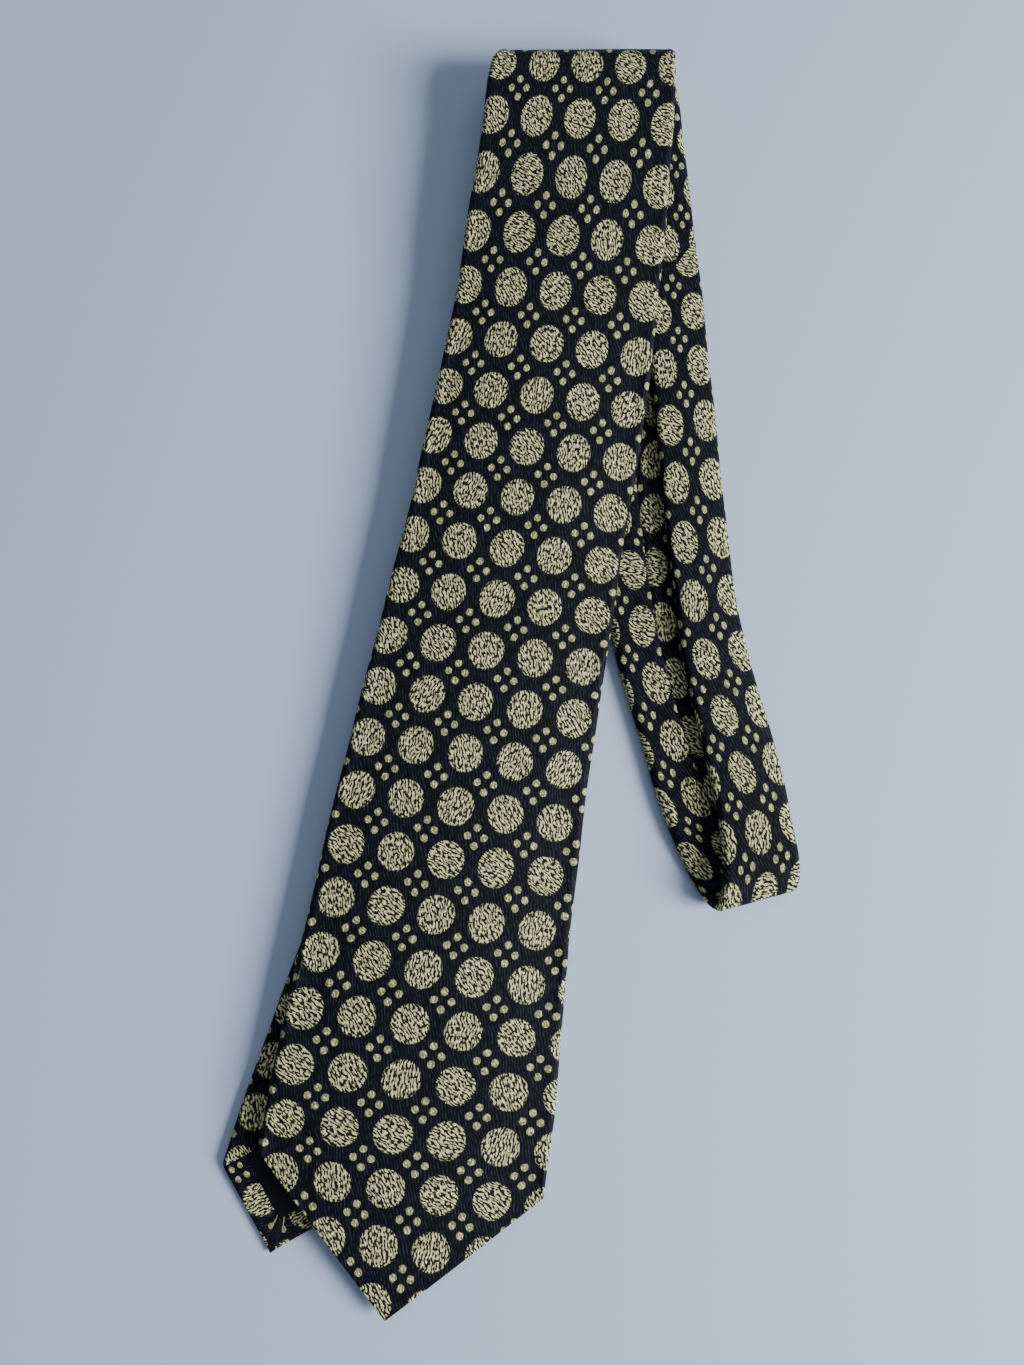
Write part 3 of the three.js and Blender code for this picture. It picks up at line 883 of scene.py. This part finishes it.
class Pattern:
    """Places circles on a length of cloth. Each knot is (length along the tie, mm from the middle line to a
    circle, mm between columns, mm between rows, mm that a row climbs per column). The lattice is warped
    smoothly from knot to knot, as cloth cut on the bias stretches."""

    def __init__(self, row_start, knots):
        self.s, self.shift, self.column, self.row, self.climb = np.array(knots, float).T
        self.fine = np.linspace(self.s[0] - 60, self.s[-1] + 60, 1200)
        rate = 1 / np.interp(self.fine, self.s, self.row)
        count = np.concatenate([[0], np.cumsum((rate[1:] + rate[:-1]) / 2 * np.diff(self.fine))])
        self.count = count - np.interp(row_start, self.fine, count)

    def lattice(self, a, s):
        u = (a - np.interp(s, self.s, self.shift)) / np.interp(s, self.s, self.column)
        v = np.interp(s - u * np.interp(s, self.s, self.climb), self.fine, self.count)
        return np.stack([u, v, 0 * u], axis=-1)


BLADE_PATTERN = Pattern(37.9, [
    (0, -4.3, 15.7, 17.4, 0.0),
    (30, -4.3, 15.9, 17.0, 0.0),
    (45, -4.3, 16.4, 15.6, 0.0),
    (62, -4.3, 16.5, 16.2, 0.0),
    (86, -4.3, 16.5, 16.6, 0.0),
    (120, -1.4, 15.8, 17.1, 0.0),
    (190, -1.4, 15.8, 16.8, 0.6),
    (290, -1.4, 15.1, 17.5, 0.6),
    (337, -0.7, 14.8, 19.2, 0.6),
    (377, -0.1, 14.8, 22.6, -0.6),
    (407, 1.3, 14.8, 18.6, -0.5),
    (470, 1.3, 13.6, 18.6, -0.5),
])
NECK_PATTERN = Pattern(608.3, [
    (470, 7.0, 12.6, 18.4, 0.0),
    (608, 7.7, 12.2, 18.4, 0.0),
    (628, 8.0, 11.9, 19.0, 0.0),
    (665, 8.2, 11.7, 19.7, 0.0),
    (725, 1.3, 11.4, 19.3, 0.6),
    (763, -1.5, 11.4, 19.1, 0.6),
    (800, -3.5, 11.8, 18.9, 0.6),
    (860, -5.5, 11.8, 20.5, 0.6),
    (940, -6.0, 12.1, 18.6, 0.6),
])
TAIL_PATTERN = Pattern(1380.0, [
    (920, 0.0, 11.2, 19.3, 0.0),
    (1100, 0.0, 12.5, 18.0, 0.0),
    (1417, 0.0, 14.0, 15.4, 0.0),
])


# ---- the shell's pieces

# How far along the tie a piecing seam slants at most, in mm
SEAM_MOST = 38.0


def seam_line(slope):
    """A slanting piecing seam. On the back it levels off, so that it stays clear of the piece's other end."""
    return lambda a: np.clip(slope * a, -SEAM_MOST, SEAM_MOST)


# Where the seams and the tail's split lie along the tie, in mm, and how the seams slant
S_HIDDEN_SEAM = S_NECK_START + 34.0
HIDDEN_SLOPE = -0.45
S_VISIBLE_SEAM = S_NECK_END - 71.0
VISIBLE_SLOPE = 1.2
S_TAIL_SPLIT = S_NECK_END - 12.0


def shell_piece(name, strip, rows, pattern, hem_slopes=None, **curls):
    """One cloth of the shell, patterned and thickened."""
    points, a, s = shell_grid(strip, rows, hem_slopes, **curls)
    attributes = {"lattice": pattern.lattice(a, s), "threads": threads_of(a, s)}
    obj = grid_object(name, points, SHELL, attributes)
    return finish_sheet(thicken(obj, CLOTH), flat_area(a, s))


blade_strip = Strip(0.0, 1, S_HIDDEN_SEAM, chevron(BLADE_SLOPES), seam_line(HIDDEN_SLOPE))
blade_places = row_places(S_HIDDEN_SEAM, (S_BLADE_TOP - 6, S_NECK_START + 6), hem=True)
blade_shell = shell_piece("blade_shell_cloth", blade_strip, blade_places, BLADE_PATTERN, BLADE_SLOPES,
                          curl_stop=True)
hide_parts("blade_shell", "blade_shell_return")

neck_length = S_VISIBLE_SEAM - S_HIDDEN_SEAM
neck_strip = Strip(S_HIDDEN_SEAM, 1, neck_length, seam_line(HIDDEN_SLOPE), seam_line(VISIBLE_SLOPE), 90.0)
neck_places = row_places(neck_length, (200, 260))
neck_shell = shell_piece("neck_shell_cloth", neck_strip, neck_places, NECK_PATTERN, curl_start=True,
                         curl_stop=True)
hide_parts("neck_lower_shell", "neck_loop_shell", "neck_upper_shell")
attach(neck_shell, "neck")

return_length = S_TAIL_SPLIT - S_VISIBLE_SEAM
return_strip = Strip(S_VISIBLE_SEAM, 1, return_length, seam_line(VISIBLE_SLOPE), None, 58.0)
tail_return = shell_piece("tail_return_cloth", return_strip, row_places(return_length), TAIL_PATTERN,
                          curl_start=True)
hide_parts("tail_shell_return")
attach(tail_return, "neck")

tail_length = S_END - S_TAIL_SPLIT
tail_strip = Strip(S_END, -1, tail_length, chevron(TAIL_SLOPES), None, 120.0)
tail_places = row_places(tail_length, (S_END - S_TAIL_TOP - 4, S_END - S_NECK_END + 4), hem=True)
tail_shell = shell_piece("tail_shell_cloth", tail_strip, tail_places, TAIL_PATTERN, TAIL_SLOPES)
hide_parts("tail_shell")


# ---- inside: interlining and tipping

def slab(name, s, x, low, high, material, extra=None):
    """A closed pad over a grid of lengths s and places x across, between two heights."""
    rows, columns = s.shape
    top, bottom = ribbon.place(s, x, high), ribbon.place(s, x, low)
    points = np.concatenate([top.reshape(-1, 3), bottom.reshape(-1, 3)])
    below = rows * columns
    faces = grid_faces(rows, columns)
    faces += [tuple(below + i for i in reversed(face)) for face in grid_faces(rows, columns)]
    rim = list(range(columns))
    rim += [r * columns + columns - 1 for r in range(1, rows)]
    rim += [(rows - 1) * columns + c for c in range(columns - 2, -1, -1)]
    rim += [r * columns for r in range(rows - 2, 0, -1)]
    faces += [(b, a, a + below, b + below) for a, b in zip(rim, rim[1:] + rim[:1])]
    values = {"threads": threads_of(x, s), **(extra or {})}
    attributes = {key: np.stack([value, value]) for key, value in values.items()}
    obj = make_object(name, points, faces, material, attributes)
    obj.data.set_sharp_from_angle(angle=math.radians(50))
    return obj


# How the interlining sits, in mm: in from the rims, above the middle, short of a tip, thinner than the tie
INTERLINING_INSET = 3.6
INTERLINING_MIDDLE = 0.55
INTERLINING_TIP_GAP = 16.0
WOOL_THIN = 3.2


def interlining(name, start, stop, start_slopes=(0, 0), stop_slopes=(0, 0)):
    """A strip of wool inside the shell from one length to another, pointed where it nears a tip."""
    share = np.linspace(-1, 1, 15)[None, :]
    steps = np.linspace(0, 1, int((stop - start) / 5))[:, None]
    s = start + (stop - start) * steps + 0 * share
    for _ in range(4):
        x = share * (ribbon.half_at(s) - INTERLINING_INSET)
        first = start + chevron(start_slopes)(x)
        last = stop - chevron(stop_slopes)(x)
        s = first + (last - first) * steps
    thick = ribbon.thick_at(s) - WOOL_THIN
    if any(start_slopes) or any(stop_slopes):
        thick = thick * (0.45 + 0.55 * smooth(np.minimum(s - first, last - s) / 30))
    obj = slab(name, s, x, INTERLINING_MIDDLE - thick / 2, INTERLINING_MIDDLE + thick / 2, WOOL)
    return finish_sheet(obj, flat_area(x, s))


# How the tipping sits, in mm: in from the rims, and up from the pointed edge. Then the satin's
# thickness, and how far up the tie each tipping reaches.
TIPPING_INSET = 2.6
TIPPING_FROM_EDGE = 8.6
SATIN = 0.25
BLADE_TIPPING_REACH = 98.0
TAIL_TIPPING_REACH = 54.0


def tipping(name, strip, slopes, reach):
    """The lining behind a point. Its pointed edge lies over the hem, and its far end under the flaps."""
    share = np.linspace(-1, 1, 25)[None, :]
    b = np.concatenate([[0, 0.5, 1.5, 4], np.linspace(8, reach - TIPPING_FROM_EDGE, 22)])[:, None]
    s = strip.origin + strip.heading * (b + 0 * share)
    for _ in range(4):
        x = share * (ribbon.half_at(s) - TIPPING_INSET)
        edge = chevron(slopes)(x)
        last = np.maximum(reach, edge + 24)
        from_tip = edge + TIPPING_FROM_EDGE + (last - edge - TIPPING_FROM_EDGE) * b / b.max()
        s = strip.origin + strip.heading * from_tip
    back = -thin_to_edge(ribbon.thick_at(s), from_tip - edge) / 2 + CLOTH / 2
    over_hem = hem_level(-back, back) - 0.36 + 0.22 * (1 - smooth(b / 1.5))
    inside = back + 1.6 * LAYER
    level = over_hem + (inside - over_hem) * smooth((b - 4) / 10)
    level = level + 0.12 * np.sin(s / 6.1 + x / 9) * smooth(b / 12) * smooth((30 - np.abs(x)) / 20)
    points = ribbon.place(s, x, level)
    obj = grid_object(name, points, LINING, {"threads": threads_of(x, s)})
    return finish_sheet(thicken(obj, SATIN), flat_area(x, s))


blade_wool = interlining("blade_interlining_wool", INTERLINING_TIP_GAP, S_BLADE_TOP - 2.0,
                         start_slopes=BLADE_SLOPES)
neck_wool = interlining("neck_interlining_wool", S_NECK_START + 2.0, S_NECK_END - 1.0)
tail_wool = interlining("tail_interlining_wool", S_TAIL_TOP + 1.0, S_END - INTERLINING_TIP_GAP,
                        stop_slopes=TAIL_SLOPES)
blade_tipping = tipping("blade_tipping_satin", blade_strip, BLADE_SLOPES, BLADE_TIPPING_REACH)
tail_tipping = tipping("tail_tipping_satin", tail_strip, TAIL_SLOPES, TAIL_TIPPING_REACH)


# ---- threads

THREAD_RADIUS = 0.16


def thread_mesh(name, paths, radius=THREAD_RADIUS, sides=6):
    """Many short threads as one piece. Each path is a list of (s, x, h) places on the ribbon."""
    points, faces, places = [], [], []
    for path in paths:
        line = ribbon.place(*np.array(path, float).T)
        ahead = unit(np.gradient(line, axis=0))
        side = unit(np.cross(ahead, [0.13, 0.31, 0.94]))
        up = np.cross(side, ahead)
        run = [0, *np.cumsum(np.linalg.norm(np.diff(line, axis=0), axis=1))]
        first = len(points)
        ends = [0.45] + [1.0] * (len(line) - 2) + [0.45]
        for i, centre in enumerate(line):
            for k in range(sides):
                angle = TAU * k / sides
                out = side[i] * math.cos(angle) + up[i] * math.sin(angle)
                points.append(centre + radius * ends[i] * out)
                places.append((k / sides, run[i], 0))
        rings = [[first + i * sides + k for k in range(sides)] for i in range(len(line))]
        faces += [(low[k], low[(k + 1) % sides], high[(k + 1) % sides], high[k])
                  for low, high in zip(rings, rings[1:]) for k in range(sides)]
        faces += [rings[0][::-1], rings[-1]]
    obj = make_object(name, np.array(points), faces, THREAD, {"threads": np.array(places)})
    return obj


def back_level(s):
    """The height of the tie's back."""
    return -ribbon.thick_at(s) / 2


def stitch(s, x, h, *steps):
    """The places of one stitch, from its steps along, across and up."""
    return [(s + along, x + across, h + up) for along, across, up in steps]


STITCH_STEP = 9.0


def slip_stitch(name, start, stop):
    """Short slanted stitches that catch the left flap's edge to the right flap under it."""
    return thread_mesh(name, [
        stitch(s, seam_at(s), back_level(s), (0, -0.6, -SEAM_RIDGE - 0.05), (0.3, 0.35, 0.1 - SEAM_RIDGE),
               (0.7, 0.9, 0.5), (1.1, 1.7, 0.85))
        for s in np.arange(start, stop, STITCH_STEP)])


def hem_stitches(name, strip, slopes, step=4.0):
    """Felling stitches along the tipping's pointed edge, from the lining into the hem."""
    paths = []
    half = (EDGE_THICK - CLOTH) / 2
    level = hem_level(half, -half)
    reach = float(ribbon.half_at(strip.origin + strip.heading * 30.0)) - 6.0
    for x in np.arange(-reach, reach, step):
        s = strip.origin + strip.heading * (chevron(slopes)(x) + TIPPING_FROM_EDGE)
        slant = 0.7 * np.sign(x + 0.01)
        paths.append(stitch(s, x, level, (1.3 * strip.heading, 0, -0.5), (0, slant / 2, -0.5),
                            (-1.2 * strip.heading, slant, -0.2)))
    return thread_mesh(name, paths, 0.12)


def bar_tack(name, s, half=3.0, wraps=15):
    """A bar of thread across the opening's point, wrapped close like a buttonhole stitch."""
    back = back_level(s) - SEAM_RIDGE - 0.25
    paths = [stitch(s + offset, 0, back, (0, -half, 0.3), (0, 1 - half, 0), (0, half - 1, 0), (0, half, 0.3))
             for offset in (-0.3, 0.0, 0.3)]
    paths += [stitch(s, x, back, (-0.75, 0, 0.35), (-0.45, 0, -0.1), (0, 0.1, -0.22),
                     (0.45, 0.2, -0.1), (0.75, 0.2, 0.35))
              for x in np.linspace(0.5 - half, half - 0.5, wraps)]
    return thread_mesh(name, paths, 0.17)


def seam_thread(name, s_middle, slope):
    """The line of stitches at the bottom of a piecing seam, across the face."""
    half = ribbon.half_at(s_middle) - 3.0
    steps = [(slope * x, x, up) for x, up in ((0, -0.15), (0.5, 0), (1.3, 0), (1.8, -0.15))]
    paths = []
    for x in np.arange(-half, half - 1.6, 2.2):
        s = s_middle + slope * x
        paths.append(stitch(s, x, ribbon.thick_at(s) / 2 - 0.55, *steps))
    return thread_mesh(name, paths, 0.14)


def length_of(node, start, stop):
    """How far along the ribbon, between two lengths, the middle of a CAD node lies."""
    low, high = cad_box(node)
    s = np.arange(start, stop, 0.5)
    middle = ribbon.place(s, 0 * s, 0 * s)[:, 1]
    return float(s[np.abs(middle - (low[1] + high[1]) / 2).argmin()])


S_BLADE_TACK = length_of("blade_bar_tack", 0, S_BLADE_TOP)
S_TAIL_TACK = length_of("tail_bar_tack", S_TAIL_TOP, S_END)
blade_tack = bar_tack("blade_bar_tack_thread", S_BLADE_TACK)
tail_tack = bar_tack("tail_bar_tack_thread", S_TAIL_TACK)
blade_slip = slip_stitch("blade_slip_stitch_thread", S_BLADE_TACK + 6, S_BLADE_TOP - 3)
neck_slip = slip_stitch("neck_slip_stitch_thread", S_NECK_START + 4, S_TAIL_SPLIT - 3)
tail_slip = slip_stitch("tail_slip_stitch_thread", S_TAIL_TOP + 4, S_TAIL_TACK - 6)
blade_felling = hem_stitches("blade_hem_stitches", blade_strip, BLADE_SLOPES)
tail_felling = hem_stitches("tail_hem_stitches", tail_strip, TAIL_SLOPES)
hidden_thread = seam_thread("blade_neck_seam_thread", S_HIDDEN_SEAM, HIDDEN_SLOPE)
visible_thread = seam_thread("neck_tail_seam_thread", S_VISIBLE_SEAM, VISIBLE_SLOPE)


# ---- on the blade's back

# The keeper loop, in mm. KEEPER_STRIP is how wide its strip was cut.
KEEPER_HALF_LENGTH = 25.0
KEEPER_HALF_WIDTH = 6.0
KEEPER_STRIP = 26.0
KEEPER_CLOTH = 0.3


def signed_power(v, power):
    return np.sign(v) * np.abs(v) ** power


def keeper_loop():
    """The strap that holds the tail: a flattened tube of shell cloth, bowed away from the blade."""
    s_middle = length_of("keeper_loop", 0, S_BLADE_TOP)
    x = np.linspace(-KEEPER_HALF_LENGTH, KEEPER_HALF_LENGTH, 27)[:, None]
    angle = np.linspace(0, TAU, 29)[None, :]
    flatness = signed_power(np.cos(angle), 0.45)
    s = s_middle + KEEPER_HALF_WIDTH * flatness + 0 * x
    swell = 0.42 * signed_power(np.sin(angle), 0.7)
    end = smooth((KEEPER_HALF_LENGTH - np.abs(x)) / 4)
    bow = 0.6 * (1 - (x / KEEPER_HALF_LENGTH) ** 2)
    h = back_level(s) - 0.35 - (0.35 + bow) * end - swell * (0.4 + 0.6 * end)
    across = x + 0 * angle
    a = 3.2 * KEEPER_HALF_WIDTH * angle / math.pi + 0 * x
    attributes = {"lattice": BLADE_PATTERN.lattice(a, across), "threads": threads_of(a, across)}
    obj = grid_object("keeper_loop_strap", ribbon.place(s, across, h), SHELL, attributes)
    weld = obj.modifiers.new("weld", "WELD")
    weld.merge_threshold = 0.00001
    area = 2 * KEEPER_STRIP * KEEPER_HALF_LENGTH
    return finish_sheet(thicken(obj, KEEPER_CLOTH), area), s_middle


def label(name, node, low_x, high_x, half_along):
    """A plain woven label, its long edges turned under, with a border line and no lettering."""
    s_middle = length_of(node, 0, S_BLADE_TOP)
    x = np.linspace(low_x, high_x, 25)[None, :]
    s = np.linspace(s_middle - half_along, s_middle + half_along, 15)[:, None]
    edge = np.minimum(np.minimum(x - low_x, high_x - x), half_along - np.abs(s - s_middle))
    s, x = s + 0 * x, x + 0 * s
    lift = 0.12 * smooth(edge / 3) + 0.05 * np.sin(x / 4.0) * smooth(edge / 5)
    low = back_level(s) - 0.42 - lift - 0.08 * smooth((1.4 - edge) / 0.7)
    border = np.stack([edge, 0 * edge, 0 * edge], axis=-1)
    obj = slab(name, s, x, low - 0.32, low, LABEL, {"border": border})
    return finish_sheet(obj, 2 * half_along * (high_x - low_x)), s_middle


def corner_ticks(name, corners):
    """A short stitch at each (s, x, lean) corner of a piece on the back."""
    return thread_mesh(name, [
        stitch(s, x, back_level(s), (-0.9, -lean, -0.7), (0, 0, -1.0), (0.9, lean, -0.7))
        for s, x, lean in corners])


keeper, S_KEEPER = keeper_loop()
maker_label, S_MAKER = label("maker_label_woven", "maker_label", -24.0, 24.0, 10.0)
care_label, S_CARE = label("care_label_woven", "care_label", 3.0, 21.0, 12.0)
back_ticks = corner_ticks("back_tack_stitches", [
    *[(S_KEEPER + offset, side * (KEEPER_HALF_LENGTH - 1.2), 0.5)
      for side in (-1, 1) for offset in (-4, -1.5, 1.5, 4)],
    *[(S_MAKER + along * 8.8, side * 22.6, along * side * 0.8) for side in (-1, 1) for along in (-1, 1)],
    *[(S_CARE + along * 10.8, x, along * 0.6) for x in (4.4, 19.6) for along in (-1, 1)],
])


# ---- riding, baking placements and working out sizes

RIDERS = {
    "blade": [blade_wool, blade_tipping, blade_tack, blade_slip, keeper, maker_label, care_label],
    "neck": [neck_wool, neck_slip, hidden_thread, visible_thread],
    "tail": [tail_wool, tail_tipping, tail_tack, tail_slip],
}
for body, riders in RIDERS.items():
    for piece in riders:
        # A piece is named after the node that it stands for, with its material at the end
        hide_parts(piece.name.rsplit("_", 1)[0])
        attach(piece, body)
for piece, body in ((blade_felling, "blade"), (back_ticks, "blade"), (tail_felling, "tail")):
    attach(piece, body)


def bend_over(piece, pivot):
    """Bakes a shell's placement into its mesh."""
    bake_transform(piece)


outermost = OUTER_FOLD["y"] + OUTER_FOLD["radius"] + BLADE_THICK / 2
bend_over(blade_shell, (0, outermost, OUTER_FOLD["z"]))
bend_over(tail_shell, (0, cad_box("tail_shell")[1][1], INNER_FOLD["z"] + 0.15))


def declare(piece, width, length):
    """Works out a piece's width, length and flat area in metres, but keeps none of them. Sizes in mm."""
    width * MM
    length * MM
    min(FLAT_AREA[piece.name], width * length) * MM * MM


def cut_width(half):
    """How wide a shell piece was cut, in mm, from half its folded width."""
    return 4 * half + TURN_UNDER + UNDER_REACH + 4


declare(blade_shell, cut_width(BLADE_HALF), S_HIDDEN_SEAM + 40)
declare(neck_shell, cut_width(27.0), neck_length + 60)
declare(tail_return, cut_width(10.5), return_length + 40)
declare(tail_shell, cut_width(TAIL_HALF), tail_length + 10)
declare(blade_wool, 2 * BLADE_HALF, S_BLADE_TOP)
declare(neck_wool, 60.0, S_NECK_END - S_NECK_START)
declare(tail_wool, 2 * TAIL_HALF, S_END - S_TAIL_TOP)
declare(blade_tipping, 2 * BLADE_HALF, 95.0)
declare(tail_tipping, 2 * TAIL_HALF, 50.0)
declare(keeper, KEEPER_STRIP, 2 * KEEPER_HALF_LENGTH + 4)
declare(maker_label, 48.0, 20.0)
declare(care_label, 18.0, 24.0)


# ---- the stage

def make_floor():
    n = Nodes("floor", roughness=0.75, specular=0.25)
    n.colour(srgb(190, 209, 239))
    size = 1500.0
    points = np.array([[-size, -size, 0], [size, -size, 0], [size, size, 0], [-size, size, 0]], float)
    make_object("floor", points, [(0, 1, 2, 3)], n.material)


def area_light(name, place, aim, size, power, colour):
    """A soft rectangular light. Place, aim and size in metres."""
    lamp = bpy.data.lights.new(name, "AREA")
    lamp.shape = "RECTANGLE"
    lamp.size, lamp.size_y = size
    lamp.energy = power
    lamp.color = colour
    obj = bpy.data.objects.new(name, lamp)
    obj.location = place
    obj.rotation_euler = (Vector(aim) - Vector(place)).to_track_quat("-Z", "Y").to_euler()
    bpy.context.scene.collection.objects.link(obj)


def make_light():
    area_light("window", (1.05, -0.3, 0.6), (0.05, 0, 0), (0.6, 0.5), 30, (1.0, 0.985, 0.96))
    area_light("fill", (0.3, 1.1, 1.5), (0, 0, 0), (1.5, 1.2), 4.5, (0.92, 0.96, 1.0))
    world = bpy.data.worlds.new("room")
    world.use_nodes = True
    background = world.node_tree.nodes["Background"]
    background.inputs["Color"].default_value = (0.80, 0.87, 1.0, 1.0)
    background.inputs["Strength"].default_value = 0.21
    bpy.context.scene.world = world


def make_camera():
    """The photo's view: nearly straight down, leaning a little up the tie, with a phone's wide lens."""
    camera = bpy.data.cameras.new("camera")
    camera.sensor_width = 36.0
    camera.lens = 27.03
    camera.clip_start = 0.01
    obj = bpy.data.objects.new("camera", camera)
    obj.location = (-0.0004, -0.061, 0.335)
    obj.rotation_euler = (math.radians(8.0), 0.0, 0.0)
    bpy.context.scene.collection.objects.link(obj)
    bpy.context.scene.camera = obj


make_floor()
make_light()
make_camera()
